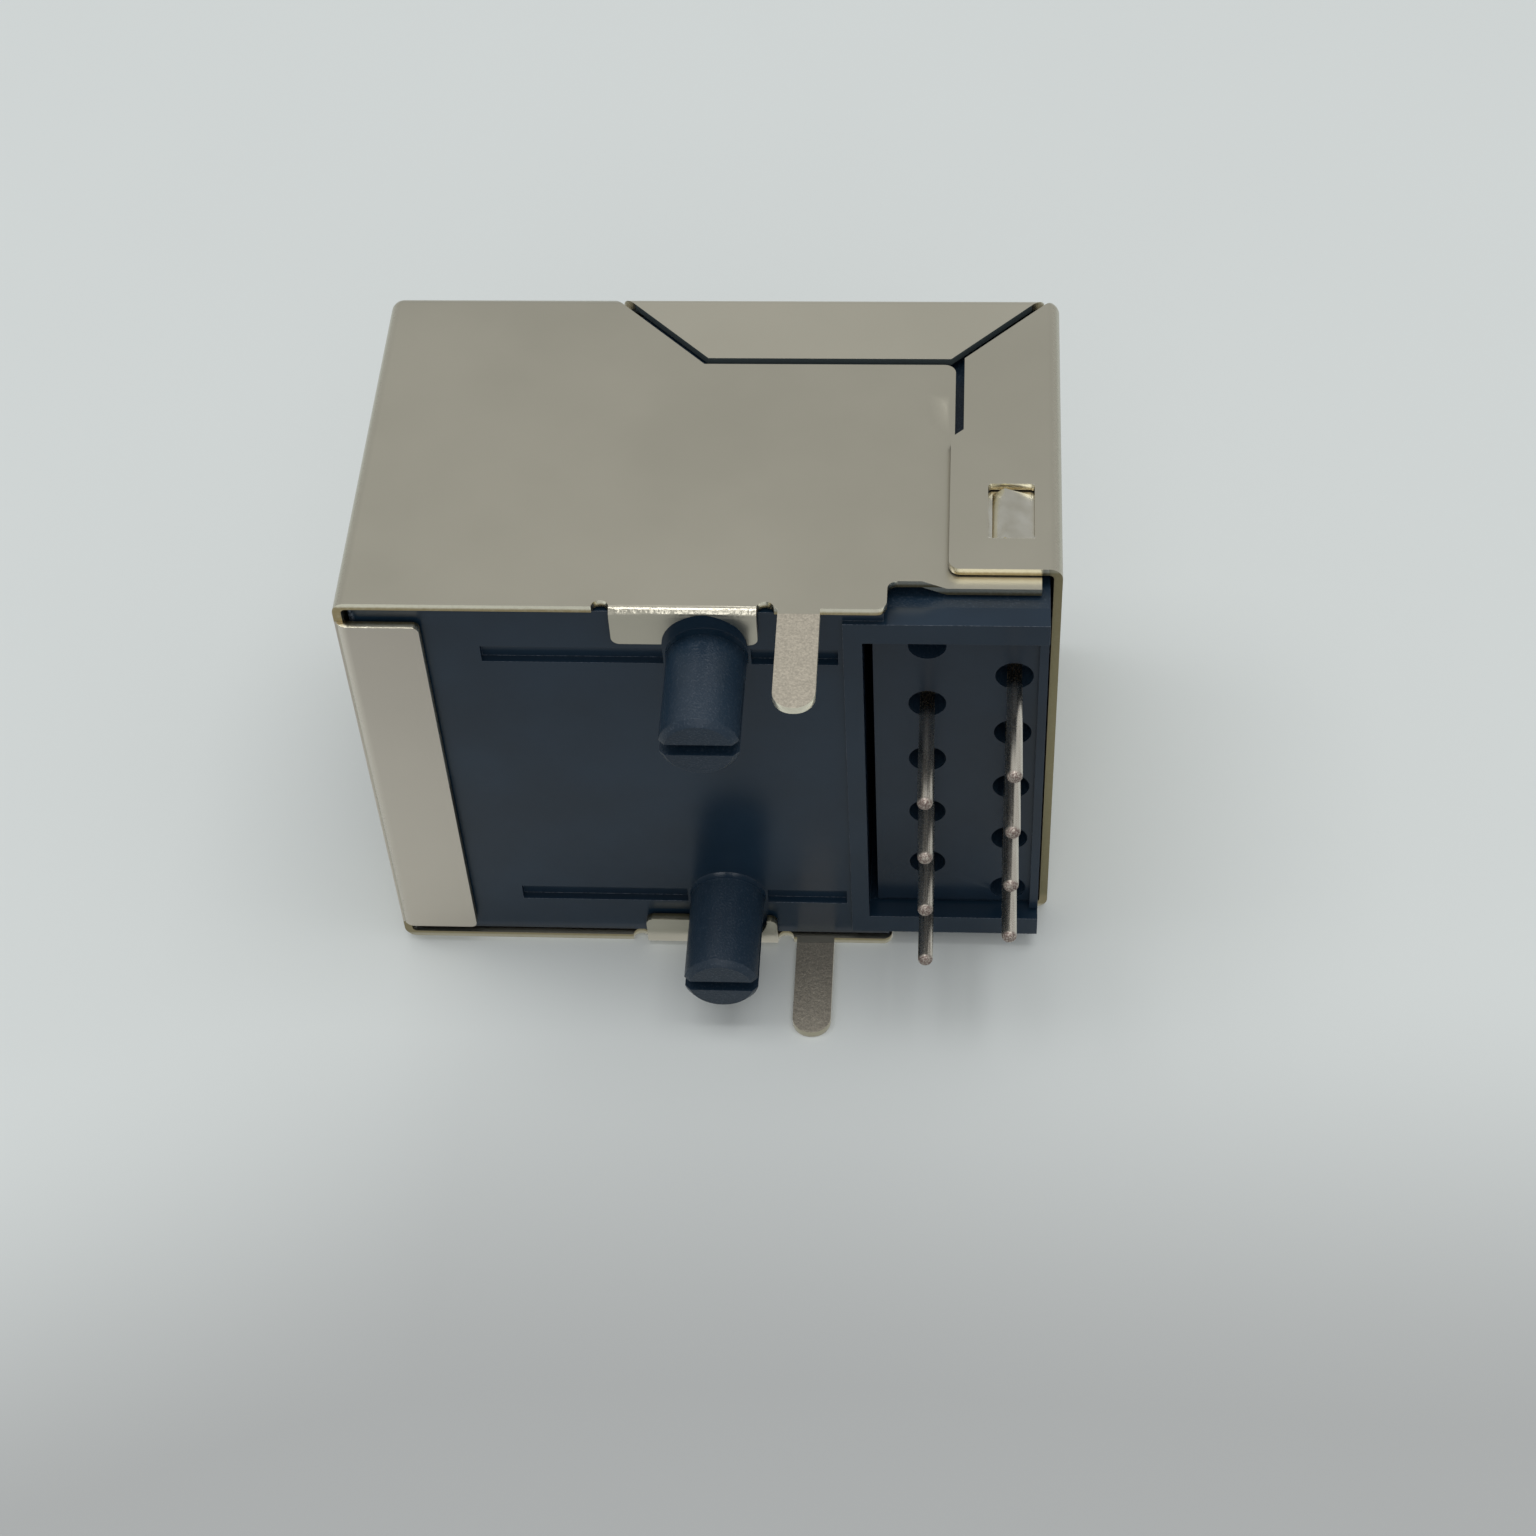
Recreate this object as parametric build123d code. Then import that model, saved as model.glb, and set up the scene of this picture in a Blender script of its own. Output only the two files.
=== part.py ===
from build123d import *
import os

# Right-angle shielded board jack for an eight-way modular plug, in millimetres.
# The board is the plane z = 0 and the jack stands above it, with its pegs, pins and tabs
# reaching below. The plug goes in along +Y. The origin lies midway between the two pegs.

# Footprint on the board
contact_count = 8
pin_pitch = 1.27
pin_row_front = 6.35
pin_drop = 3.1
peg_radius = 1.17
peg_drop = 3.2

# Sheet metal and the clearances between the pieces
sheet = 0.25
bend_radius = 0.4
wall_lift = 0.2
lap_gap = 0.05
fit_gap = 0.1

# Reach of the shield ahead of the pegs and behind the last row of pins
front_reach = 10.65
rear_overhang = 1.31

# Strip folded back under the front
strip_depth = 2.45
strip_inset = 0.78
strip_corner = 0.2

# Mitred flaps folded down from the top, and the slits around them
mitre_front = -3.35
mitre_rear_inset = 0.45
mitre_drop = 2.85
slit = 0.26
slit_bite = 0.5

# Latch window in the rear panel's side flaps, and the lug pressed up into it
window_inset = 0.8
window_length = 1.35
window_foot = 3.03
window_height = 2.2
window_round = 0.12
lug_gap = 0.06
lug_head_gap = 0.15
lug_rise = 0.27
lug_crest = 0.42

# Side flaps folded forward from the rear panel
flap_margin = 1.11
flap_lift = 1.8
flap_step = 0.11
flap_step_drop = 5.9
flap_corner = 0.35

# Joggle that sets the side panel's end in under the side flap
joggle_run = 0.7
joggle_gap = 0.04
joggle_fade = 1.5
tongue_inset = 0.6
tongue_lift = 1.3
step_length = 0.98
step_round = 0.3

# Tabs on the side panels' lower edges
fold_tab_front = -2.67
fold_tab_length = 4.21
fold_tab_reach = 1.35
fold_bend = 0.3
fold_rise = 0.3
fold_corner = 0.25
relief_radius = 0.25
solder_tab_gap = 0.61
solder_tab_width = 1.2
solder_tab_drop = 3.5
solder_tab_root = 0.15

# Split locating pegs
peg_slot = 0.45
peg_slot_depth = 2.6
peg_chamfer = 0.18
peg_flare = 0.05
peg_flare_rise = 0.25
peg_notch_gap = 0.06
peg_notch_bite = 0.1

# Plug cavity, from its floor upward and from its sides inward
latch_floor = 0.55
latch_narrow = 4.1
latch_narrow_drop = 1.15
latch_wide = 6.2
latch_wide_drop = 1.5
latch_hall_wall = 2.8
cavity_height = 6.8
cavity_side_wall = 1.65
cavity_rear_wall = 1.2
cavity_ceiling = 0.48
throat_depth = 1.6
opening_margin = 0.1

# Housing at the rear and underneath
rear_wall = 0.8
rim_front_wall = 0.55
pocket_ceiling = 0.35
groove_width = 0.65
groove_depth = 0.25
groove_inset = 1.6
groove_rear_gap = 0.15
groove_peg_gap = 0.06

# Spring fingers folded in from the shield's opening
finger_width = 1.8
finger_root = 0.6
finger_length = 6.2
finger_bow = 0.55
finger_bend = 0.175
finger_room = 0.3
finger_straight_share = 0.25
finger_crest_share = 0.7
finger_tip_share = 0.4

# Contact carrier in the rear pocket
carrier_gap = 0.12
carrier_front_gap = 0.27
carrier_nose = 1.58
carrier_lift = 0.85
carrier_lip = 0.3
carrier_lip_depth = 0.26
carrier_margin = 0.665
arm_thickness = 1.55
arm_margin = 0.305
arm_gap = 0.12
arm_roof_gap = 0.2
well_radius = 0.56
well_depth = 0.8
hole_gap = 0.05

# Wires, from the pins to the springs that meet the plug
wire_radius = 0.22
wire_cover = 0.35
tin_coat = 0.01
tin_height = 0.5
pin_tip_flat = 0.03
contact_pitch = 1.02
run_bend = 0.7
fan_inset = 1.75
fan_bend = 2.0
fan_arm_length = 1.8
hairpin_inset = 4.25
hairpin_run = 3.0
hairpin_bend = 0.6
tip_drop = 2.75
tip_gap = 0.7
comb_depth = 1.6
comb_drop = 3.45
comb_slot = 0.62
comb_margin = 0.2
chamber_inset = 0.9

# Overlap of joined bodies, and how far a cut runs past what it cuts
join = 0.05
over = 1.0
far = 30.0

# Places along the jack
front_y = -front_reach
pin_row_rear = pin_row_front + 2 * pin_pitch
rear_y = pin_row_rear + rear_overhang
carrier_front = pin_row_front - carrier_nose
carrier_rear = rear_y - sheet - fit_gap
pocket_front = carrier_front - carrier_front_gap
rim_front = pocket_front - rim_front_wall
cavity_end = pocket_front - cavity_rear_wall
throat_end = front_y + sheet + throat_depth
fan_start = pin_row_front - fan_inset
hairpin_point = front_y + hairpin_inset
arm_front = hairpin_point + hairpin_run
fan_end = arm_front + fan_arm_length
chamber_front = hairpin_point + chamber_inset
comb_front = cavity_end - comb_depth
window_front = rear_y - window_inset - window_length
flap_front = window_front - flap_margin
flap_step_front = flap_front + flap_step
joggle_end = flap_front - joggle_gap
joggle_start = joggle_end - joggle_run
step_front = joggle_start - step_length
fold_tab_rear = fold_tab_front + fold_tab_length
solder_tab_front = fold_tab_rear + solder_tab_gap
solder_tab_rear = solder_tab_front + solder_tab_width

# Places across the jack, out from its middle
peg_x = (contact_count + 1) / 2 * pin_pitch
pocket_half = peg_x + carrier_margin + carrier_gap
rear_half = pocket_half + rear_wall
half = rear_half + fit_gap + lap_gap + 2 * sheet
body_half = half - sheet - fit_gap
cavity_half = body_half - cavity_side_wall
arm_half = (contact_count - 1) / 2 * pin_pitch + arm_margin

# Heights above the board
body_lift = sheet + fit_gap
fold_top = wall_lift + sheet + fold_rise
latch_foot = body_lift + latch_floor
cavity_foot = latch_foot + latch_narrow_drop + latch_wide_drop
cavity_roof = cavity_foot + cavity_height
arm_foot = cavity_roof + cavity_ceiling + arm_gap
arm_top = arm_foot + arm_thickness
pocket_roof = arm_top + arm_roof_gap
body_roof = pocket_roof + pocket_ceiling
shield_top = body_roof + fit_gap + sheet
run_height = arm_top - wire_cover
finger_middle = cavity_foot + cavity_height / 2
flap_step_foot = shield_top - flap_step_drop


def block(x0, x1, y0, y1, z0, z1):
    """Box between two opposite corners."""
    middle = Pos((x0 + x1) / 2, (y0 + y1) / 2, (z0 + z1) / 2)
    return middle * Box(x1 - x0, y1 - y0, z1 - z0)


def outline(*points):
    """Closed flat outline with straight sides."""
    return make_face(Polyline(*points, close=True))


def rounded(face, *corners):
    """Outline with the corners nearest to the given (x, y, radius) rounded."""
    for u, v, radius in corners:
        corner = face.vertices().sort_by_distance((u, v, 0))[0]
        face = fillet(corner, radius)
    return face


def side_prism(face, x0, x1):
    """Outline drawn as (y, z), as a prism from x0 to x1."""
    return extrude(Plane.YZ.offset(x0) * face, amount=x1 - x0)


def plan_prism(face, z0, z1):
    """Outline drawn as (x, y), as a prism from z0 to z1."""
    return extrude(Plane.XY.offset(z0) * face, amount=z1 - z0)


def front_prism(face, y0, y1):
    """Outline drawn as (x, z), as a prism from y0 to y1."""
    return extrude(Plane.XZ.offset(-y0) * face, amount=y0 - y1)


def both_sides(shape):
    """The shape and its mirror image on the other side of the jack."""
    return [shape, mirror(shape, about=Plane.YZ)]


def rounded_box(inset, radius):
    """Block with rounded upright and top edges, set in from the shield's faces."""
    side = half - inset
    box = block(-side, side, front_y + inset, rear_y - inset, -far, shield_top - inset)
    return fillet(box.edges().filter_by(Axis.Z) + box.edges().group_by(Axis.Z)[-1], radius)


def folded_box():
    """Front, top, rear and side panels, with rounded bends and no bottom."""
    shell = rounded_box(0, bend_radius) - rounded_box(sheet, bend_radius - sheet)
    return shell - block(-far, far, -far, far, -far - over, wall_lift)


def mitre_corners(grow):
    """Corners of the trapezoid flap as (y, z), with its cut edges moved out by grow."""
    slant = grow * 2 ** 0.5
    top_front = mitre_front - slant - over
    top_rear = rear_y - mitre_rear_inset + slant + over
    foot = shield_top - mitre_drop - grow
    run = mitre_drop + grow + over
    return [
        (top_front, shield_top + over),
        (top_front + run, foot),
        (top_rear - run, foot),
        (top_rear, shield_top + over),
    ]


def side_panel_outline():
    """Side panel from the front to its joggle, with the solder tab in the same plane."""
    fade_top = flap_step_foot + joggle_fade
    mitre_top, mitre_foot = mitre_corners(slit)[:2]
    panel_top = mitre_foot[1]
    shape = outline(
        (front_y - over, wall_lift),
        (solder_tab_front, wall_lift),
        (solder_tab_front, -solder_tab_drop),
        (solder_tab_rear, -solder_tab_drop),
        (solder_tab_rear, wall_lift),
        (step_front, wall_lift),
        (step_front, tongue_lift),
        (joggle_start, tongue_lift),
        (joggle_start, fade_top),
        (flap_step_front, fade_top),
        (flap_step_front, panel_top),
        mitre_foot,
        mitre_top,
        (front_y - over, mitre_top[1]),
    )
    tip_round = (solder_tab_width - join) / 2
    return rounded(
        shape,
        (solder_tab_front, -solder_tab_drop, tip_round),
        (solder_tab_rear, -solder_tab_drop, tip_round),
        (solder_tab_rear, wall_lift, solder_tab_root),
        (step_front, wall_lift, step_round),
        (step_front, tongue_lift, step_round),
        (flap_step_front, panel_top, flap_corner),
    )


def side_flap_outline():
    """Side flap of the rear panel, as seen from the side, with its latch window."""
    slot_rear = flap_step_front + slit
    shape = outline(
        (flap_front, flap_lift),
        (rear_y + over, flap_lift),
        (rear_y + over, shield_top + over),
        (slot_rear, shield_top + over),
        (slot_rear, flap_step_foot),
        (flap_front, flap_step_foot - flap_corner),
    )
    shape = rounded(shape, (flap_front, flap_lift, flap_corner))
    window = Pos(window_front + window_length / 2, window_foot + window_height / 2) * RectangleRounded(
        window_length, window_height, window_round
    )
    return shape - outline(*mitre_corners(slit)) - window


def relief_outline(middle):
    """Small round relief in the side panel's lower edge, beside a folded tab."""
    return Pos(middle, wall_lift) * Circle(relief_radius)


def side_cuts():
    """What is cut from each side of the folded box, leaving panel, flaps and slits."""
    panel = side_panel_outline()
    panel -= relief_outline(fold_tab_front - relief_radius)
    panel -= relief_outline(fold_tab_rear + relief_radius)
    keep = panel + outline(*mitre_corners(0)) + side_flap_outline()
    sheet_area = Rectangle(2 * far, 2 * far)
    return both_sides(side_prism(sheet_area - keep, half - slit_bite, half + over))


def solder_tabs():
    """Round-ended tabs below the side panels."""
    tab = outline(
        (solder_tab_front, wall_lift + join),
        (solder_tab_rear, wall_lift + join),
        (solder_tab_rear, -solder_tab_drop),
        (solder_tab_front, -solder_tab_drop),
    )
    return both_sides(side_prism(side_panel_outline() & tab, half - sheet, half))


def joggle_section(shift, end):
    """Plan of the side panel's rear end, set inward by shift and reaching back to end."""
    return outline(
        (half, joggle_start),
        (half - shift, joggle_end),
        (half - shift, end),
        (half - shift - sheet, end),
        (half - shift - sheet, joggle_end),
        (half - sheet, joggle_start),
    )


def tongues():
    """Side panel ends that dive under the rear panel's side flaps, with their lugs."""
    shift = sheet + lap_gap
    lower = plan_prism(joggle_section(shift, rear_y - tongue_inset), tongue_lift, flap_step_foot)
    fade = loft(
        [
            Plane.XY.offset(flap_step_foot) * joggle_section(shift, flap_step_front),
            Plane.XY.offset(flap_step_foot + joggle_fade) * joggle_section(0, flap_step_front),
        ],
        ruled=True,
    )
    return both_sides(lower + fade + lug() - lug_hollow())


def lug_wedge(foot_x, rise, margin):
    """Wedge with a steep shoulder to the front and a ramp to the rear."""
    front = window_front + lug_gap + margin
    rear = window_front + window_length - margin
    crest = window_front + lug_gap + lug_crest
    plan = outline((foot_x, front), (foot_x + rise, crest), (foot_x, rear))
    foot = window_foot + lug_gap + margin
    head = window_foot + window_height - lug_head_gap - margin
    return plan_prism(plan, foot, head)


def lug():
    """Latch lug standing out of the tongue into the window."""
    face_x = half - sheet - lap_gap
    return lug_wedge(face_x - join, lug_rise + join, 0)


def lug_hollow():
    """Hollow pressed into the back of the lug."""
    back_x = half - 2 * sheet - lap_gap
    return lug_wedge(back_x, lug_rise, sheet / 2)


def fold_tabs():
    """Tabs folded inward under the housing, each notched around a peg."""
    reach_x = half - fold_tab_reach
    top = fold_top + join
    section = outline(
        (half, 0),
        (half, top),
        (half - sheet, top),
        (half - sheet, sheet),
        (reach_x, sheet),
        (reach_x, 0),
    )
    section = rounded(section, (half, 0, fold_bend), (half - sheet, sheet, fold_bend - sheet))
    tab = front_prism(section, fold_tab_front, fold_tab_rear)
    plan = outline(
        (reach_x, fold_tab_front),
        (half + over, fold_tab_front),
        (half + over, fold_tab_rear),
        (reach_x, fold_tab_rear),
    )
    plan = rounded(plan, (reach_x, fold_tab_front, fold_corner), (reach_x, fold_tab_rear, fold_corner))
    return both_sides((tab & plan_prism(plan, -over, top + over)) - peg_notch())


def peg_notch():
    """U-shaped notch that lets a peg pass the folded tab."""
    radius = peg_radius + peg_notch_gap
    centre_x = half - sheet + peg_notch_bite - radius
    low = -over
    high = sheet + peg_notch_bite
    notch = Pos(centre_x, 0, (low + high) / 2) * Cylinder(radius, high - low)
    return notch + block(half - fold_tab_reach - over, centre_x, -radius, radius, low, high)


def fold_tab_room():
    """Part of each side panel that gives way to the bend of its folded tab."""
    return both_sides(block(half - over, half + over, fold_tab_front, fold_tab_rear, -over, fold_top))


def front_strip():
    """Lower end of the front panel, folded back under the housing."""
    rear = front_y + strip_depth
    section = outline(
        (front_y, 0),
        (rear, 0),
        (rear, sheet),
        (front_y + sheet, sheet),
        (front_y + sheet, fold_top),
        (front_y, fold_top),
    )
    section = rounded(section, (front_y, 0, bend_radius), (front_y + sheet, sheet, bend_radius - sheet))
    side = half - strip_inset
    plan = outline((-side, front_y - over), (side, front_y - over), (side, rear), (-side, rear))
    plan = rounded(plan, (side, rear, strip_corner), (-side, rear, strip_corner))
    return side_prism(section, -side, side) & plan_prism(plan, -over, shield_top)


def opening_outline(margin):
    """Plug opening as seen from the front, with its stepped latch notch."""
    side = cavity_half + margin
    wide = latch_wide / 2 + margin
    narrow = latch_narrow / 2 + margin
    shelf = cavity_foot - margin
    wide_foot = latch_foot + latch_narrow_drop - margin
    return outline(
        (-side, cavity_roof + margin),
        (side, cavity_roof + margin),
        (side, shelf),
        (wide, shelf),
        (wide, wide_foot),
        (narrow, wide_foot),
        (narrow, latch_foot),
        (-narrow, latch_foot),
        (-narrow, wide_foot),
        (-wide, wide_foot),
        (-wide, shelf),
        (-side, shelf),
    )


def finger_path():
    """Centre line of a spring finger in plan, from the front panel back along the cavity."""
    root_x = cavity_half + opening_margin + sheet / 2
    plane_y = front_y + sheet / 2
    return FilletPolyline(
        (root_x + finger_root, plane_y),
        (root_x, plane_y),
        (root_x, plane_y + finger_length * finger_straight_share),
        (root_x - finger_bow, plane_y + finger_length * finger_crest_share),
        (root_x - finger_bow * finger_tip_share, plane_y + finger_length),
        radius=finger_bend,
    )


def fingers():
    """Spring fingers that touch the plug's own shield."""
    strip = trace(finger_path(), line_width=sheet)
    return both_sides(plan_prism(strip, finger_middle - finger_width / 2, finger_middle + finger_width / 2))


def build_shield():
    """One folded sheet: shell, flaps, joggles, lugs, tabs, strip and fingers."""
    shape = folded_box()
    shape -= front_prism(opening_outline(opening_margin), front_y - over, front_y + sheet + join)
    shape -= block(-half + slit_bite, half - slit_bite, rear_y - over, rear_y + over, -over, flap_lift)
    for cut in side_cuts() + fold_tab_room():
        shape -= cut
    shape += front_strip()
    for piece in solder_tabs() + fold_tabs() + tongues() + fingers():
        shape += piece
    return shape


def housing_block():
    """Outer form of the housing, stepped in at the rear for the lapped sheet."""
    front = front_y + sheet + lap_gap
    body = block(-body_half, body_half, front, step_front - fit_gap, body_lift, body_roof)
    roof_corners = body.edges().filter_by(Axis.Y).group_by(Axis.Z)[-1]
    front_foot = body.edges().filter_by(Axis.X).sort_by_distance((0, front, body_lift))[0]
    body = fillet([*roof_corners, front_foot], bend_radius)
    return body + block(-rear_half, rear_half, rim_front, carrier_rear, wall_lift, body_roof - bend_radius)


def plug_cavity():
    """Plug cavity with its throat, and the hall behind the throat for the latch."""
    cut = front_prism(opening_outline(0), front_y - over, throat_end + join)
    cut += block(-cavity_half, cavity_half, throat_end, cavity_end, cavity_foot, cavity_roof)
    hall_half = latch_wide / 2
    hall_end = cavity_end - latch_hall_wall
    return cut + block(-hall_half, hall_half, throat_end, hall_end, latch_foot, cavity_foot + join)


def finger_recesses():
    """Recesses in the cavity's sides that give the spring fingers room."""
    depth = opening_margin + sheet + finger_room
    reach = finger_width / 2 + finger_room
    rear = front_y + finger_length + 2 * finger_room
    return both_sides(
        block(
            cavity_half - join,
            cavity_half + depth,
            front_y - over,
            rear,
            finger_middle - reach,
            finger_middle + reach,
        )
    )


def contact_x(index):
    """Place of a contact across the plug cavity, from the +X side."""
    return ((contact_count - 1) / 2 - index) * contact_pitch


def comb():
    """Slotted comb at the cavity's end, one slot for each contact's tip."""
    comb_half = contact_count * contact_pitch / 2 + comb_margin
    comb_foot = cavity_roof - comb_drop
    teeth = block(-comb_half, comb_half, comb_front, cavity_end + join, comb_foot, cavity_roof + join)
    for index in range(contact_count):
        x = contact_x(index)
        teeth -= block(x - comb_slot / 2, x + comb_slot / 2, comb_front - over, cavity_end, 0, shield_top)
    return teeth


def housing_grooves():
    """Grooves that run lengthwise under the housing, ahead of each peg and behind it."""
    left = peg_x - groove_width / 2
    right = peg_x + groove_width / 2
    root = peg_radius + peg_flare + groove_peg_gap
    top = body_lift + groove_depth
    ahead = block(left, right, front_y + strip_depth + groove_inset, -root, 0, top)
    behind = block(left, right, root, rim_front - groove_rear_gap, 0, top)
    return both_sides(ahead) + both_sides(behind)


def build_housing():
    """Moulded housing with plug cavity, rear pocket, split pegs and underside grooves."""
    body = housing_block() - plug_cavity()
    for recess in finger_recesses():
        body -= recess
    body += comb()
    body -= block(-pocket_half, pocket_half, pocket_front, far, -over, pocket_roof)
    chamber_half = arm_half + arm_gap
    chamber_foot = arm_foot - arm_gap
    body -= block(-chamber_half, chamber_half, chamber_front, pocket_front + over, chamber_foot, pocket_roof)
    window_half = contact_x(0) + comb_slot / 2
    body -= block(-window_half, window_half, chamber_front, comb_front, cavity_roof - over, arm_foot)
    for groove in housing_grooves():
        body -= groove
    for peg in both_sides(split_peg()):
        body += peg
    return body


def split_peg():
    """Locating peg with a slot across its end, so that its halves give in the board's hole."""
    neck = body_lift - peg_flare_rise
    peg = Pos(peg_x, 0, (neck - peg_drop) / 2) * Cylinder(peg_radius, neck + peg_drop)
    peg = chamfer(peg.edges().group_by(Axis.Z)[0], peg_chamfer)
    peg += Pos(peg_x, 0, neck + peg_flare_rise / 2) * Cone(peg_radius, peg_radius + peg_flare, peg_flare_rise)
    slot_top = peg_slot_depth - peg_drop
    left = peg_x - peg_slot / 2
    right = peg_x + peg_slot / 2
    return peg - block(left, right, -peg_radius - over, peg_radius + over, -peg_drop - over, slot_top)


def pin_place(index):
    """Pin position of a contact: the two rows take turns across the jack."""
    x = ((contact_count - 1) / 2 - index) * pin_pitch
    y = pin_row_rear if index % 2 == 0 else pin_row_front
    return x, y


def build_contact_carrier():
    """L-shaped carrier that holds the wires, in the housing's rear pocket."""
    side = pocket_half - carrier_gap
    lip_front = carrier_rear - carrier_lip_depth
    body = block(-side, side, carrier_front, carrier_rear, carrier_lift, arm_top)
    body += block(-side, side, lip_front, carrier_rear, carrier_lift - carrier_lip, arm_top)
    body += block(-arm_half, arm_half, arm_front, carrier_front + over, arm_foot, arm_top)
    for index in range(-1, contact_count + 1):
        x, y = pin_place(index)
        body -= Pos(x, y, carrier_lift) * Cylinder(well_radius, 2 * well_depth)
    for index in range(contact_count):
        for passage in wire_passages(index):
            body -= passage
    return body


def wire_passages(index):
    """Hole for a wire's riser, room for its bend, and the groove that it lies in."""
    slot_half = wire_radius + hole_gap
    x, y = pin_place(index)
    low = carrier_lift - over
    high = arm_top + over
    groove_foot = run_height - slot_half
    hole = Pos(x, y, (low + high) / 2) * Cylinder(slot_half, high - low)
    bend_room = block(x - slot_half, x + slot_half, y - run_bend, y, groove_foot - run_bend, high)
    straight = block(x - slot_half, x + slot_half, fan_start, y, groove_foot, high)
    run = Polyline(
        (x, fan_start + slot_half),
        (x, fan_start),
        (contact_x(index), fan_end),
        (contact_x(index), arm_front - over),
    )
    fan = plan_prism(trace(run, line_width=2 * slot_half), groove_foot, high)
    return [hole, bend_room, straight, fan]


def build_contact(index):
    """One bent wire: pin, riser, fanned run, hairpin and the spring that meets the plug."""
    x0, y0 = pin_place(index)
    x1 = contact_x(index)
    path = FilletPolyline(
        (x0, y0, 0),
        (x0, y0, run_height),
        (x0, fan_start, run_height),
        (x1, fan_end, run_height),
        (x1, hairpin_point, run_height),
        (x1, cavity_end - tip_gap, cavity_roof - tip_drop),
        radius=[run_bend, fan_bend, fan_bend, hairpin_bend],
    )
    section = Plane(origin=path @ 0, z_dir=path % 0) * Circle(wire_radius)
    return tinned_pin(x0, y0) + sweep(section, path=path)


def tinned_pin(x, y):
    """Lower end of a wire, thickened by its coat of tin, with a rounded tip."""
    pin = Pos(x, y, (tin_height - pin_drop) / 2) * Cylinder(wire_radius + tin_coat, pin_drop + tin_height)
    return fillet(pin.edges().group_by(Axis.Z)[0], wire_radius - pin_tip_flat)


def main():
    os.makedirs("parts", exist_ok=True)
    export_step(build_shield(), "parts/shield.step")
    export_step(build_housing(), "parts/housing.step")
    export_step(build_contact_carrier(), "parts/contact_carrier.step")
    for index in range(contact_count):
        export_step(build_contact(index), f"parts/contact_{index + 1}.step")


main()
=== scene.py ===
import bpy
from mathutils import Matrix, Vector


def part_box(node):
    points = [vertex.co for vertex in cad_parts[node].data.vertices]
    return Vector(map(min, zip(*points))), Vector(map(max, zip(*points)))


bl_info = {
    "name": "Board jack finish",
    "version": (1, 0, 0),
    "blender": (4, 5, 0),
    "location": "3D View > Sidebar > Jack",
    "description": "Dresses the shielded board jack and builds its stage",
    "category": "Object",
}

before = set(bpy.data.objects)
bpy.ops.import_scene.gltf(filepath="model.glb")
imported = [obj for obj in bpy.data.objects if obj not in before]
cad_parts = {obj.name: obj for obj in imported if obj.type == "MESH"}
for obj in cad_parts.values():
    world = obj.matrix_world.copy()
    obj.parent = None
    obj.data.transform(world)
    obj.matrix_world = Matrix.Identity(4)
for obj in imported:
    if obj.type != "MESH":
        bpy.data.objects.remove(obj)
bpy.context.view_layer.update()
contact_count = 8
contacts = sorted(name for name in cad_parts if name.startswith("contact_") and name[-1].isdigit())

# The shield's own measures in millimetres, for finding its cut edges
shield_low, shield_high = (corner * 1000 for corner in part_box("shield"))
half_width = shield_high.x
front = shield_low.y
rear = shield_high.y
top = shield_high.z
sheet = 0.25
lap_gap = 0.05
bend = 0.4
wall_foot = 0.2
flap_foot = 1.8
tongue_foot = 1.3
step_front = 5.22
strip_side = 7.17
strip_depth = 2.45
tab_front = -2.67
tab_rear = 1.54
tab_reach = 6.6
tab_top = 0.75
solder_front = 2.15
solder_rear = 3.35
window_front = rear - 2.15
window_rear = rear - 0.8
window_foot = 3.03
window_head = 5.23
mitre_front = -3.35
mitre_rear = rear - 0.45
mitre_drop = 2.85
slit_width = 0.26

# Limits of the masks in millimetres, a little beyond the faces that they take in
margin = 0.05
foot_margin = 0.02
strip_margin = 0.03
tongue_margin = 0.1
sheet_band = 1.1 * sheet
bend_band = 1.1 * bend
slit_band = 1.3 * sheet
slit_low = 7.0
tab_bend = 0.5
mouth_reach = 6.2
mouth_low = 0.7
mouth_high = 10.6

# Depths in millimetres between which a cut edge turns from burnished to torn
torn_start = 0.08
torn_end = 0.2

# A face is edgewise to an axis below the first share of its direction, and looks along it above the second
edgewise = 0.5
looking = 0.7

# Heights in millimetres between which the mouldings are polished, and the room left clear for the pegs
polish_low = 0.15
polish_high = 0.9
peg_room = 1.5

# Places along the wires in millimetres, where the tin, the cut ends and the springs begin and end
tin_low = 0.4
tin_high = 0.6
pin_foot = -3.1
cut_end_low = pin_foot + 0.1
cut_end_high = pin_foot + 0.25
spring_low = 7.0
spring_high = 12.0
spring_rear = 3.0

# Places on the floor in millimetres, where it turns from its near colour, a painted shadow before the
# jack, to its far one
floor_near_end = -18.0
floor_far_end = 0.0
floor_side = -8.0
floor_side_slope = 0.4

# The photograph's viewpoint in metres, and the directions to its right and straight ahead
viewpoint = (0.06863, 0.00748, -0.05575)
view_right = Vector((-0.04301, 0.99765, 0.05328))
view_ahead = Vector((-0.76937, -0.06709, 0.63527))

# Places and sizes of the lights in metres, and the colour of the room
lamp_place = (0.42, -0.03, 0.02)
lamp_size = (0.5, 0.16)
card_place = (0.25, 0.02, -0.24)
card_size = (0.2, 0.2)
room_colour = (0.98, 1.0, 1.0, 1.0)


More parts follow.
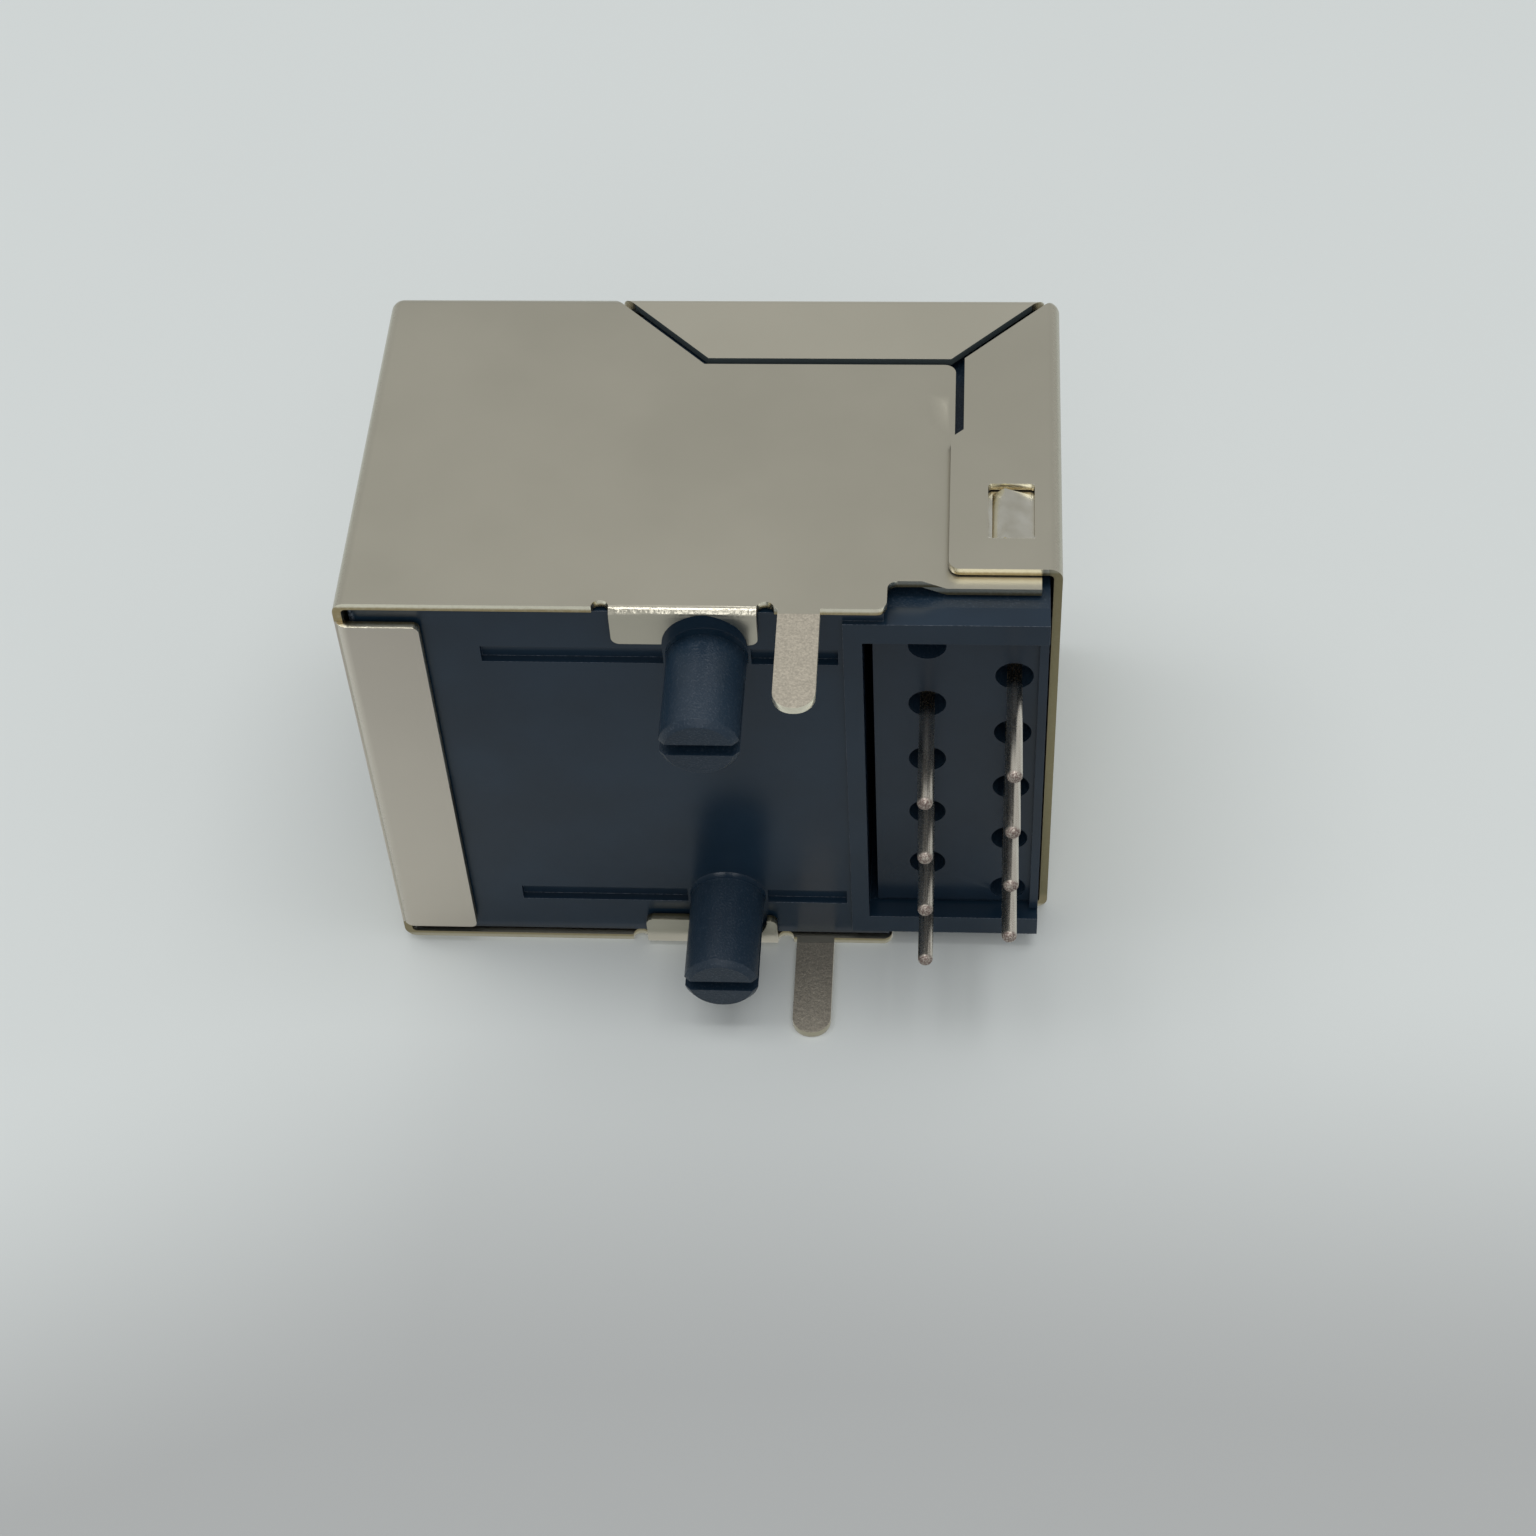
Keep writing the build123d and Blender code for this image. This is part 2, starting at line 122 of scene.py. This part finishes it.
class Amount:
    """A number on a surface, read from a socket; arithmetic on it adds the nodes."""

    def __init__(self, finish, socket):
        self.finish = finish
        self.socket = socket

    def math(self, operation, *values):
        """Adds a maths node that works on these values."""
        return self.finish.add("ShaderNodeMath", {"operation": operation}, dict(enumerate(values)))

    def __add__(self, other):
        return self.math("ADD", self, other)

    def __radd__(self, other):
        return self.math("ADD", other, self)

    def __sub__(self, other):
        return self.math("SUBTRACT", self, other)

    def __rsub__(self, other):
        return self.math("SUBTRACT", other, self)

    def __mul__(self, other):
        return self.math("MULTIPLY", self, other)

    def __rmul__(self, other):
        return self.math("MULTIPLY", other, self)

    def __gt__(self, other):
        return self.math("GREATER_THAN", self, other)

    def __lt__(self, other):
        return self.math("LESS_THAN", self, other)

    def __abs__(self):
        return self.math("ABSOLUTE", self)

    def within(self, low, high):
        """1 between the two limits, else 0."""
        return (self > low) * (self < high)

    def larger(self, other):
        """The larger of the two, which joins two masks."""
        return self.math("MAXIMUM", self, other)

    def smaller(self, other):
        """The smaller of the two."""
        return self.math("MINIMUM", self, other)

    def rise(self, low, high):
        """Smooth rise from 0 at low to 1 at high."""
        limits = {"Value": self, "From Min": low, "From Max": high}
        return self.finish.add("ShaderNodeMapRange", {"interpolation_type": "SMOOTHSTEP"}, limits)


class Finish:
    """The nodes of one material, with the surface's place in millimetres and its facing."""

    def __init__(self, name):
        self.material = bpy.data.materials.new(name)
        self.material.use_nodes = True
        self.tree = self.material.node_tree
        self.tree.nodes.clear()
        place = self.add("ShaderNodeTexCoord", out="Object")
        self.place = self.add("ShaderNodeVectorMath", {"operation": "SCALE"}, {0: place, "Scale": 1000.0})
        self.x, self.y, self.z = self.parts(self.place)
        facing = self.add("ShaderNodeTexCoord", out="Normal")
        self.face_x, self.face_y, self.face_z = self.parts(facing)

    def add(self, kind, settings=None, sockets=None, out=0):
        """Adds a node: its type, its settings, and the values or links of its sockets."""
        node = self.tree.nodes.new(kind)
        for name, value in (settings or {}).items():
            setattr(node, name, value)
        for name, value in (sockets or {}).items():
            if isinstance(value, Amount):
                self.tree.links.new(value.socket, node.inputs[name])
            else:
                node.inputs[name].default_value = value
        return Amount(self, node.outputs[out])

    def parts(self, vector):
        """The three numbers of a vector."""
        split = self.add("ShaderNodeSeparateXYZ", None, {0: vector})
        return [Amount(self, socket) for socket in split.socket.node.outputs]

    def grain(self, size, detail=2.0, roughness=0.5, stretch=None):
        """Even noise from 0 to 1 with features of about this size in millimetres."""
        place = self.place
        if stretch:
            place = self.add("ShaderNodeVectorMath", {"operation": "MULTIPLY"}, {0: place, 1: stretch})
        sockets = {"Vector": place, "Scale": 1 / size, "Detail": detail, "Roughness": roughness}
        return self.add("ShaderNodeTexNoise", None, sockets, "Fac")

    def blend(self, share, first, second):
        """A colour between two colours."""
        return self.add("ShaderNodeMix", {"data_type": "RGBA"}, {0: share, 6: first, 7: second}, 2)

    def relief(self, height, depth, strength=1.0):
        """Surface relief in which a height of 1 stands for this many millimetres."""
        sockets = {"Height": height, "Distance": depth / 1000, "Strength": strength}
        return self.add("ShaderNodeBump", None, sockets)

    def surface(self, sockets):
        """Ends the material in a plain surface shader."""
        self.end(self.add("ShaderNodeBsdfPrincipled", None, sockets))
        return self.material

    def end(self, shader):
        """Links the shader to the material's output."""
        output = self.tree.nodes.new("ShaderNodeOutputMaterial")
        self.tree.links.new(shader.socket, output.inputs["Surface"])


def opaque(colour):
    """The colour with full alpha."""
    return (*colour, 1.0)


def dress(node, material, edge):
    """Gives a CAD node its finish and softens its sharp edges by this width in metres."""
    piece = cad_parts[node]
    piece.data.materials.clear()
    piece.data.materials.append(material)
    weld = piece.modifiers.new("Join corners", "WELD")
    weld.merge_threshold = 1e-7
    flat = piece.modifiers.new("Join flat faces", "DECIMATE")
    flat.decimate_type = "DISSOLVE"
    flat.angle_limit = 0.001
    soften = piece.modifiers.new("Soften edges", "BEVEL")
    soften.width = edge
    soften.segments = 2
    soften.limit_method = "ANGLE"
    soften.angle_limit = 0.6
    even = piece.modifiers.new("Even shading", "WEIGHTED_NORMAL")
    even.weight = 80


def on_window(finish, room):
    """Mask of the latch window in the rear panel's side flaps, with this much room round it."""
    along = finish.y.within(window_front - room, window_rear + room)
    return along * finish.z.within(window_foot - room, window_head + room)


def on_solder_tab(finish):
    """Mask of the two tabs that are soldered into the board."""
    outside = (abs(finish.x) > half_width - sheet_band) * (finish.z < 0.0)
    return outside * finish.y.within(solder_front - margin, solder_rear + margin)


def on_tab_bend(finish):
    """Mask of the bends of the two tabs folded in under the housing."""
    corner = (finish.z < tab_bend) * (abs(finish.x) > half_width - tab_bend)
    return corner * finish.y.within(tab_front, tab_rear)


def on_slit(finish):
    """Mask of the walls of the slits round the mitred flaps."""
    outside = (abs(finish.x) > half_width - slit_band) * (abs(finish.face_x) < edgewise)
    along = finish.y.within(mitre_front - slit_width, rear - bend)
    return outside * along * finish.z.within(slit_low, top - bend)


def on_mitre(finish):
    """Mask of the mitred flaps folded down from the top."""
    between = (finish.y + finish.z > top + mitre_front) * (finish.z - finish.y > top - mitre_rear)
    return between * (finish.z > top - mitre_drop) * (abs(finish.x) > half_width - sheet)


def cut_edges(finish):
    """Mask of the sheared edges of the shield's sheet, where the bare brass shows."""
    across = abs(finish.x)
    facing_out = abs(finish.face_x)
    facing_along = abs(finish.face_y)
    facing_up = abs(finish.face_z)
    down = finish.face_z < -looking
    tab = finish.y.within(tab_front, tab_rear) * (finish.z < tab_top + margin) * (facing_along < edgewise)
    low = finish.z < flap_foot + margin
    wall = (across > half_width - sheet_band) * (facing_out < edgewise) * (1 - tab)
    wall = wall * low.larger(on_window(finish, margin))
    wall = wall * finish.y.within(front + bend_band, rear - bend_band)
    foot = down * (finish.z < wall_foot + foot_margin) * (across > strip_side + strip_margin) * (1 - tab)
    flap = down * finish.z.within(flap_foot - margin, flap_foot + margin)
    tongue = down * finish.z.within(tongue_foot - tongue_margin, tongue_foot + tongue_margin)
    tongue = tongue * (finish.y > step_front)
    ear = across.within(tab_reach - margin, half_width - sheet) * (finish.z < sheet_band)
    ear = ear * (facing_up < edgewise) * finish.y.within(tab_front - margin, tab_rear + margin)
    strip = (across < strip_side + strip_margin) * (finish.z < sheet_band) * (facing_up < edgewise)
    strip = strip * (facing_out > looking).larger(finish.face_y > looking)
    mouth = (finish.y < front + sheet_band) * (facing_along < edgewise)
    mouth = mouth * (across < mouth_reach) * finish.z.within(mouth_low, mouth_high)
    mask = wall
    for part in (foot, flap, tongue, ear, strip, mouth):
        mask = mask.larger(part)
    return mask


def bare_brass(finish, look, beads):
    """Cut-edge brass: burnished and lit by a painted highlight outside, torn inside, painted shade at back
    and far side.
    """
    across = abs(finish.x)
    inner = (across < half_width - sheet) * finish.y.within(step_front, rear - 2 * sheet)
    depth = (half_width - across - (sheet + lap_gap) * inner).smaller(finish.z)
    # The outer half's light brass is partly a painted highlight along the edges
    torn = depth.rise(torn_start, torn_end) + 0.5 * (beads - 0.5)
    brass = finish.blend(torn, opaque(look.burnished_brass_and_highlight), opaque(look.brass_dark))
    # Painted shade: cut edges at the back, and low on the far side, are darkened
    painted_shade = 0.7 * (finish.y > rear - bend).larger((finish.x < 0.0) * (finish.z < 2 * sheet))
    return finish.blend(painted_shade, brass, opaque(look.brass_painted_shade))


def plated_sheet(look):
    """Satin nickel plate over brass sheet, bare on the cut edges and tinned on the solder tabs."""
    finish = Finish("plated sheet")
    cut = cut_edges(finish)
    solder = on_solder_tab(finish)
    slit = on_slit(finish)
    flat = abs(finish.face_x).larger(abs(finish.face_y)).larger(abs(finish.face_z))
    worn = 1 - flat.rise(0.86, 0.99)
    fold = on_tab_bend(finish) * worn
    lug = on_window(finish, 0.0) * (abs(finish.x) > half_width - 2 * sheet) * (1 - cut)
    under = finish.face_z < -looking
    cloud = finish.grain(5.0, 3.0)
    fine = finish.grain(0.09, 3.0, 0.6)
    rolled = finish.grain(0.3, 2.0, 0.5, (1.0, 0.15, 1.0))
    beads = finish.grain(0.13, 2.0, 0.6)
    dent = finish.grain(0.7, 2.0, 0.5)
    ripple = finish.grain(0.22, 2.0, 0.6)
    speckle = finish.grain(0.06, 2.0, 0.6).rise(0.25, 0.75)
    tinned = finish.blend(speckle, opaque(look.solder_dark), opaque(look.solder))
    nickel = finish.blend(cloud.rise(0.25, 0.75), opaque(look.nickel_dark), opaque(look.nickel_light))
    # Worn colour: wear on the bent edges, a lighter tone on the mitred flaps, and painted light on every
    # face that looks down
    rubbed = 0.35 * worn * fine.rise(0.1, 0.9) + 0.3 * on_mitre(finish) + 0.35 * under
    nickel = finish.blend(rubbed, nickel, opaque(look.worn))
    # Painted light: the strip's down-facing faces are lightened and warmed
    nickel = finish.blend(0.3 * under * (finish.y < front + strip_depth), nickel, opaque(look.strip))
    # Lighter patches on the latch lug: polish from the flap, and painted highlight
    nickel = finish.blend(lug * dent.rise(0.1, 0.8), nickel, opaque(look.rubbed))
    # Painted shade: the slit walls are dark and hardly metallic, as the shade inside the slits
    nickel = finish.blend(slit, nickel, opaque(look.shade))
    nickel = finish.blend(solder, nickel, tinned)
    height = 0.5 * fine + 0.5 * rolled + 6.0 * solder * beads
    height = height + 36.0 * fold * ripple + 3.0 * cut * fine + 14.0 * lug * dent
    gloss = look.gloss_spread + 0.03 * (cloud - 0.5) + 0.06 * (fine - 0.5)
    return finish.surface(
        {
            "Base Color": finish.blend(cut, nickel, bare_brass(finish, look, beads)),
            "Metallic": 1 - 0.8 * slit,
            "Roughness": gloss - 0.04 * cut + 0.10 * solder - 0.06 * worn - 0.08 * lug + 0.2 * slit,
            "Normal": finish.relief(height, 0.005, 0.3),
        }
    )


def moulded(name, look, colour):
    """Blue-black moulding, polished at the floor's height and spark-eroded below and above it."""
    finish = Finish(name)
    cloud = finish.grain(4.0, 3.0)
    spark = finish.grain(0.07, 3.0, 0.65)
    flow = finish.grain(1.2, 2.0, 0.5, (0.4, 1.0, 1.0))
    rough_part = 1 - finish.z.within(polish_low, polish_high)
    # Painted highlights: glints along the softened edges and sparkle on the rough pegs and walls
    steep = abs(finish.face_z)
    edge = steep.rise(0.25, 0.45) * (1 - steep.rise(0.85, 0.97)) * (abs(finish.y) > peg_room)
    speckle = (spark.rise(0.52, 0.72) * 0.12 * rough_part).larger(spark.rise(0.35, 0.65) * edge)
    dark = tuple(0.85 * value for value in colour)
    light = tuple(1.15 * value for value in colour)
    body = finish.blend(cloud.rise(0.3, 0.7), opaque(dark), opaque(light))
    return finish.surface(
        {
            "Base Color": finish.blend(speckle, body, opaque(look.painted_glint)),
            "Roughness": look.polish + 0.05 * (cloud - 0.5) + 0.1 * rough_part + 0.04 * (flow - 0.5),
            "Specular IOR Level": look.sheen,
            "Normal": finish.relief(spark * (0.1 + 2.0 * rough_part), 0.02, 0.4),
        }
    )


def contact_metal(look):
    """Tinned wire at the pins, bare bronze between, gold flash at the springs."""
    finish = Finish("contact wire")
    fine = finish.grain(0.05, 2.0, 0.6)
    drawn = finish.grain(0.04, 2.0, 0.5, (1.0, 1.0, 0.06))
    tinned = 1 - finish.z.rise(tin_low, tin_high)
    tip = 1 - finish.z.rise(cut_end_low, cut_end_high)
    golden = finish.z.within(spring_low, spring_high) * (finish.y < spring_rear)
    wire = finish.blend(golden, opaque(look.bronze), opaque(look.gold))
    tin = finish.blend(drawn.rise(0.1, 0.9), opaque(look.tin_dark), opaque(look.tin))
    tin = finish.blend(tip * fine.rise(0.3, 0.6), tin, opaque(look.copper))
    return finish.surface(
        {
            "Base Color": finish.blend(tinned, wire, tin),
            "Metallic": 1.0,
            "Roughness": 0.26 + 0.15 * (fine - 0.5) + 0.3 * tip,
            "Normal": finish.relief(0.4 * drawn + 3.0 * tip * fine, 0.004, 0.4),
        }
    )


def floor_paper(look):
    """Pale paper, clear from behind and to the light of the side that lies against it."""
    finish = Finish("pale paper")
    # Painted shadow: the floor is darker before the jack, towards the near colour
    beside = (floor_side - finish.y).larger(0.0)
    far_side = (finish.z + floor_side_slope * beside).rise(floor_near_end, floor_far_end)
    mottle = finish.grain(18.0, 3.0)
    pale = finish.blend(far_side - 0.06 * mottle, opaque(look.floor_painted_shadow), opaque(look.floor_far))
    touching = finish.add("ShaderNodeLightPath", out="Ray Length") < look.touch
    back = finish.add("ShaderNodeNewGeometry", out="Backfacing")
    paper = finish.add("ShaderNodeBsdfDiffuse", None, {"Color": pale})
    clear = finish.add("ShaderNodeBsdfTransparent")
    finish.end(finish.add("ShaderNodeMixShader", None, {0: back.larger(touching), 1: paper, 2: clear}))
    return finish.material


class ShieldLook(bpy.types.PropertyGroup):
    """Colours and edges of the shield"""

    nickel_light: bpy.props.FloatVectorProperty(
        name="Nickel, light", description="Lighter tone of the plate",
        subtype="COLOR", default=(0.514, 0.485, 0.401),
    )
    nickel_dark: bpy.props.FloatVectorProperty(
        name="Nickel, dark", description="Darker tone of the plate",
        subtype="COLOR", default=(0.477, 0.451, 0.371),
    )
    # Partly painted highlight: the burnished brass is lightened nearly to white
    burnished_brass_and_highlight: bpy.props.FloatVectorProperty(
        name="Brass, light", description="Burnished outer half of the cut edges",
        subtype="COLOR", default=(1.0, 0.96, 0.79),
    )
    brass_dark: bpy.props.FloatVectorProperty(
        name="Brass, dark", description="Torn inner half of the cut edges",
        subtype="COLOR", default=(0.42, 0.34, 0.19),
    )
    # Painted shade: the darker brass of the cut edges at the back and the far side
    brass_painted_shade: bpy.props.FloatVectorProperty(
        name="Brass, dull", description="Cut edges at the back and the far side, dulled by handling",
        subtype="COLOR", default=(0.22, 0.20, 0.12),
    )
    # Also painted light on the down-facing faces, and a lighter tone on the mitred flaps
    worn: bpy.props.FloatVectorProperty(
        name="Worn folds", description="Plate rubbed thin on the folds",
        subtype="COLOR", default=(0.74, 0.70, 0.58),
    )
    # Painted light: a lighter, warmer tone on the strip's down-facing faces
    strip: bpy.props.FloatVectorProperty(
        name="Strip", description="Warmer plate of the strip folded under the front",
        subtype="COLOR", default=(0.647, 0.549, 0.52),
    )
    # Lighter patches on the latch lug: polish from the flap, and painted highlight
    rubbed: bpy.props.FloatVectorProperty(
        name="Rubbed lug", description="Latch lug polished by the flap",
        subtype="COLOR", default=(0.66, 0.64, 0.57),
    )
    # Painted shade inside the slits
    shade: bpy.props.FloatVectorProperty(
        name="Slit walls", description="Dull walls of the slits",
        subtype="COLOR", default=(0.075, 0.095, 0.10),
    )
    solder: bpy.props.FloatVectorProperty(
        name="Solder tabs", description="Colour of the tinned tabs",
        subtype="COLOR", default=(0.62, 0.56, 0.46),
    )
    solder_dark: bpy.props.FloatVectorProperty(
        name="Solder tabs, dark", description="Darker grains of the tinned tabs",
        subtype="COLOR", default=(0.44, 0.40, 0.33),
    )
    gloss_spread: bpy.props.FloatProperty(
        name="Roughness", description="Roughness of the plate",
        subtype="FACTOR", default=0.34, min=0.0, max=1.0,
    )
    edge: bpy.props.FloatProperty(
        name="Edge rounding", description="Rounding of the sheet's edges",
        subtype="DISTANCE", default=0.00008,
    )


class MouldingLook(bpy.types.PropertyGroup):
    """Colours and edges of the two mouldings"""

    housing: bpy.props.FloatVectorProperty(
        name="Housing", description="Colour of the housing",
        subtype="COLOR", default=(0.0085, 0.021, 0.038),
    )
    carrier: bpy.props.FloatVectorProperty(
        name="Carrier", description="Colour of the contact carrier",
        subtype="COLOR", default=(0.0075, 0.018, 0.033),
    )
    # Painted highlight: the glints along the mouldings' edges and the sparkle on the rough parts
    painted_glint: bpy.props.FloatVectorProperty(
        name="Glint", description="Pale glints in the moulding's skin",
        subtype="COLOR", default=(0.20, 0.23, 0.28),
    )
    polish: bpy.props.FloatProperty(
        name="Roughness", description="Roughness of the polished faces",
        subtype="FACTOR", default=0.24, min=0.0, max=1.0,
    )
    sheen: bpy.props.FloatProperty(
        name="Sheen", description="Strength of the moulding's reflections",
        subtype="FACTOR", default=0.36, min=0.0, max=1.0,
    )
    edge: bpy.props.FloatProperty(
        name="Edge rounding", description="Rounding of the moulding's edges",
        subtype="DISTANCE", default=0.00005,
    )


class WireLook(bpy.types.PropertyGroup):
    """Colours and edges of the eight wires"""

    tin: bpy.props.FloatVectorProperty(
        name="Tin", description="Colour of the tinned pins",
        subtype="COLOR", default=(0.70, 0.66, 0.58),
    )
    tin_dark: bpy.props.FloatVectorProperty(
        name="Tin, dark", description="Darker streaks in the tin",
        subtype="COLOR", default=(0.52, 0.47, 0.41),
    )
    copper: bpy.props.FloatVectorProperty(
        name="Cut ends", description="Colour of the pins' cut ends",
        subtype="COLOR", default=(0.22, 0.16, 0.145),
    )
    bronze: bpy.props.FloatVectorProperty(
        name="Bronze", description="Colour of the bare wire",
        subtype="COLOR", default=(0.72, 0.56, 0.38),
    )
    gold: bpy.props.FloatVectorProperty(
        name="Gold", description="Colour of the springs' contact faces",
        subtype="COLOR", default=(0.90, 0.66, 0.28),
    )
    edge: bpy.props.FloatProperty(
        name="Edge rounding", description="Rounding of the wires' edges",
        subtype="DISTANCE", default=0.00001,
    )


class StageLook(bpy.types.PropertyGroup):
    """Floor, light and lens of the stage"""

    floor_far: bpy.props.FloatVectorProperty(
        name="Floor, far", description="Floor colour beyond the jack",
        subtype="COLOR", default=(0.66, 0.69, 0.685),
    )
    # Painted shadow on the floor before the jack
    floor_painted_shadow: bpy.props.FloatVectorProperty(
        name="Floor, near", description="Floor colour before the jack",
        subtype="COLOR", default=(0.42, 0.43, 0.43),
    )
    floor_gap: bpy.props.FloatProperty(
        name="Floor gap", description="Gap between jack and floor",
        subtype="DISTANCE", default=0.00002,
    )
    touch: bpy.props.FloatProperty(
        name="Touching", description="Reach of light that passes the floor",
        subtype="DISTANCE", default=0.0008,
    )
    floor_size: bpy.props.FloatProperty(
        name="Floor size", description="Width of the floor",
        subtype="DISTANCE", default=0.8,
    )
    room: bpy.props.FloatProperty(
        name="Room light", description="Strength of the room's light",
        default=0.55,
    )
    lamp: bpy.props.FloatProperty(
        name="Lamp", description="Power of the soft lamp overhead, in watts",
        unit="POWER", default=0.8,
    )
    card: bpy.props.FloatProperty(
        name="Card", description="Power of the soft card in front, in watts",
        unit="POWER", default=0.17,
    )
    lens: bpy.props.FloatProperty(
        name="Lens", description="Focal length in millimetres",
        unit="CAMERA", default=68.59,
    )


class JackFinish(bpy.types.PropertyGroup):
    """All the looks of the jack and its stage"""

    shield: bpy.props.PointerProperty(
        name="Shield", description="Looks of the folded shield", type=ShieldLook
    )
    moulding: bpy.props.PointerProperty(
        name="Mouldings", description="Looks of the housing and the carrier", type=MouldingLook
    )
    wire: bpy.props.PointerProperty(
        name="Contacts", description="Looks of the eight wires", type=WireLook
    )
    stage: bpy.props.PointerProperty(
        name="Stage", description="Floor, light and camera", type=StageLook
    )


def settings():
    """The looks kept in the open scene."""
    return bpy.context.scene.jack_finish


class JACK_OT_dress_shield(bpy.types.Operator):
    """Plates the folded shield and bares its cut edges"""

    bl_idname = "jack.dress_shield"
    bl_label = "Dress shield"

    def execute(self, context):
        look = settings().shield
        dress("shield", plated_sheet(look), look.edge)
        return {"FINISHED"}


class JACK_OT_dress_housing(bpy.types.Operator):
    """Gives the housing with its pegs its moulded skin"""

    bl_idname = "jack.dress_housing"
    bl_label = "Dress housing"

    def execute(self, context):
        look = settings().moulding
        dress("housing", moulded("housing moulding", look, look.housing), look.edge)
        return {"FINISHED"}


class JACK_OT_dress_carrier(bpy.types.Operator):
    """Gives the contact carrier its moulded skin"""

    bl_idname = "jack.dress_carrier"
    bl_label = "Dress contact carrier"

    def execute(self, context):
        look = settings().moulding
        dress("contact_carrier", moulded("carrier moulding", look, look.carrier), look.edge)
        return {"FINISHED"}


class JACK_OT_dress_contacts(bpy.types.Operator):
    """Gives the eight wires their tin, bronze and gold"""

    bl_idname = "jack.dress_contacts"
    bl_label = "Dress contacts"

    def execute(self, context):
        if len(contacts) != contact_count:
            raise RuntimeError("the jack has eight contacts")
        look = settings().wire
        metal = contact_metal(look)
        for name in contacts:
            dress(name, metal, look.edge)
        return {"FINISHED"}


class JACK_OT_build_stage(bpy.types.Operator):
    """Builds the pale floor under the jack's side, the light and the camera"""

    bl_idname = "jack.build_stage"
    bl_label = "Build stage"

    def execute(self, context):
        look = settings().stage
        scene = context.scene
        scene.view_settings.view_transform = "Standard"
        self.floor(scene, look)
        self.light(scene, look)
        self.camera(scene, look)
        return {"FINISHED"}

    def floor(self, scene, look):
        """Lays the square floor against the jack's far side."""
        half = look.floor_size / 2
        height = shield_low.x / 1000 - look.floor_gap
        mesh = bpy.data.meshes.new("floor")
        corners = [
            (height, -half, -half),
            (height, half, -half),
            (height, half, half),
            (height, -half, half),
        ]
        mesh.from_pydata(corners, [], [(0, 1, 2, 3)])
        mesh.materials.append(floor_paper(look))
        floor = bpy.data.objects.new("floor", mesh)
        scene.collection.objects.link(floor)

    def light(self, scene, look):
        """Lights the room evenly and adds the two soft lights."""
        world = bpy.data.worlds.new("room")
        world.use_nodes = True
        room = world.node_tree.nodes["Background"]
        room.inputs["Color"].default_value = room_colour
        room.inputs["Strength"].default_value = look.room
        scene.world = world
        self.lamp(scene, "soft lamp", look.lamp, lamp_place, lamp_size)
        self.lamp(scene, "soft card", look.card, card_place, card_size)

    def lamp(self, scene, name, power, place, size):
        """Hangs a rectangular light that shines at the origin."""
        lamp = bpy.data.lights.new(name, "AREA")
        lamp.shape = "RECTANGLE"
        lamp.size, lamp.size_y = size
        lamp.energy = power
        stand = bpy.data.objects.new(name, lamp)
        stand.location = place
        stand.rotation_mode = "QUATERNION"
        stand.rotation_quaternion = (-stand.location).to_track_quat("-Z", "Y")
        scene.collection.objects.link(stand)

    def camera(self, scene, look):
        """Sets the camera at the photograph's viewpoint."""
        lens = bpy.data.cameras.new("camera")
        lens.lens = look.lens
        lens.sensor_width = 36.0
        lens.clip_start = 0.001
        camera = bpy.data.objects.new("camera", lens)
        up = view_right.cross(view_ahead)
        turn = Matrix((view_right, up, -view_ahead)).transposed().to_4x4()
        camera.matrix_world = Matrix.Translation(viewpoint) @ turn
        scene.collection.objects.link(camera)
        scene.camera = camera


class JACK_PT_finish(bpy.types.Panel):
    """Lists the jack's looks and operators"""

    bl_idname = "JACK_PT_finish"
    bl_label = "Jack"
    bl_space_type = "VIEW_3D"
    bl_region_type = "UI"
    bl_category = "Jack"

    def draw(self, context):
        looks = settings()
        for title, group, operators in (
            ("Shield", looks.shield, [JACK_OT_dress_shield]),
            ("Mouldings", looks.moulding, [JACK_OT_dress_housing, JACK_OT_dress_carrier]),
            ("Contacts", looks.wire, [JACK_OT_dress_contacts]),
            ("Stage", looks.stage, [JACK_OT_build_stage]),
        ):
            box = self.layout.box()
            box.label(text=title)
            for name in group.__annotations__:
                box.prop(group, name)
            for operator in operators:
                box.operator(operator.bl_idname)


classes = (
    ShieldLook,
    MouldingLook,
    WireLook,
    StageLook,
    JackFinish,
    JACK_OT_dress_shield,
    JACK_OT_dress_housing,
    JACK_OT_dress_carrier,
    JACK_OT_dress_contacts,
    JACK_OT_build_stage,
    JACK_PT_finish,
)


def register():
    """Registers the looks, operators and panel."""
    for item in classes:
        bpy.utils.register_class(item)
    bpy.types.Scene.jack_finish = bpy.props.PointerProperty(type=JackFinish)


def unregister():
    """Takes them out again."""
    del bpy.types.Scene.jack_finish
    for item in reversed(classes):
        bpy.utils.unregister_class(item)


def main():
    """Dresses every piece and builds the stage."""
    register()
    bpy.ops.jack.dress_shield()
    bpy.ops.jack.dress_housing()
    bpy.ops.jack.dress_carrier()
    bpy.ops.jack.dress_contacts()
    bpy.ops.jack.build_stage()


if __name__ == "__main__":
    main()
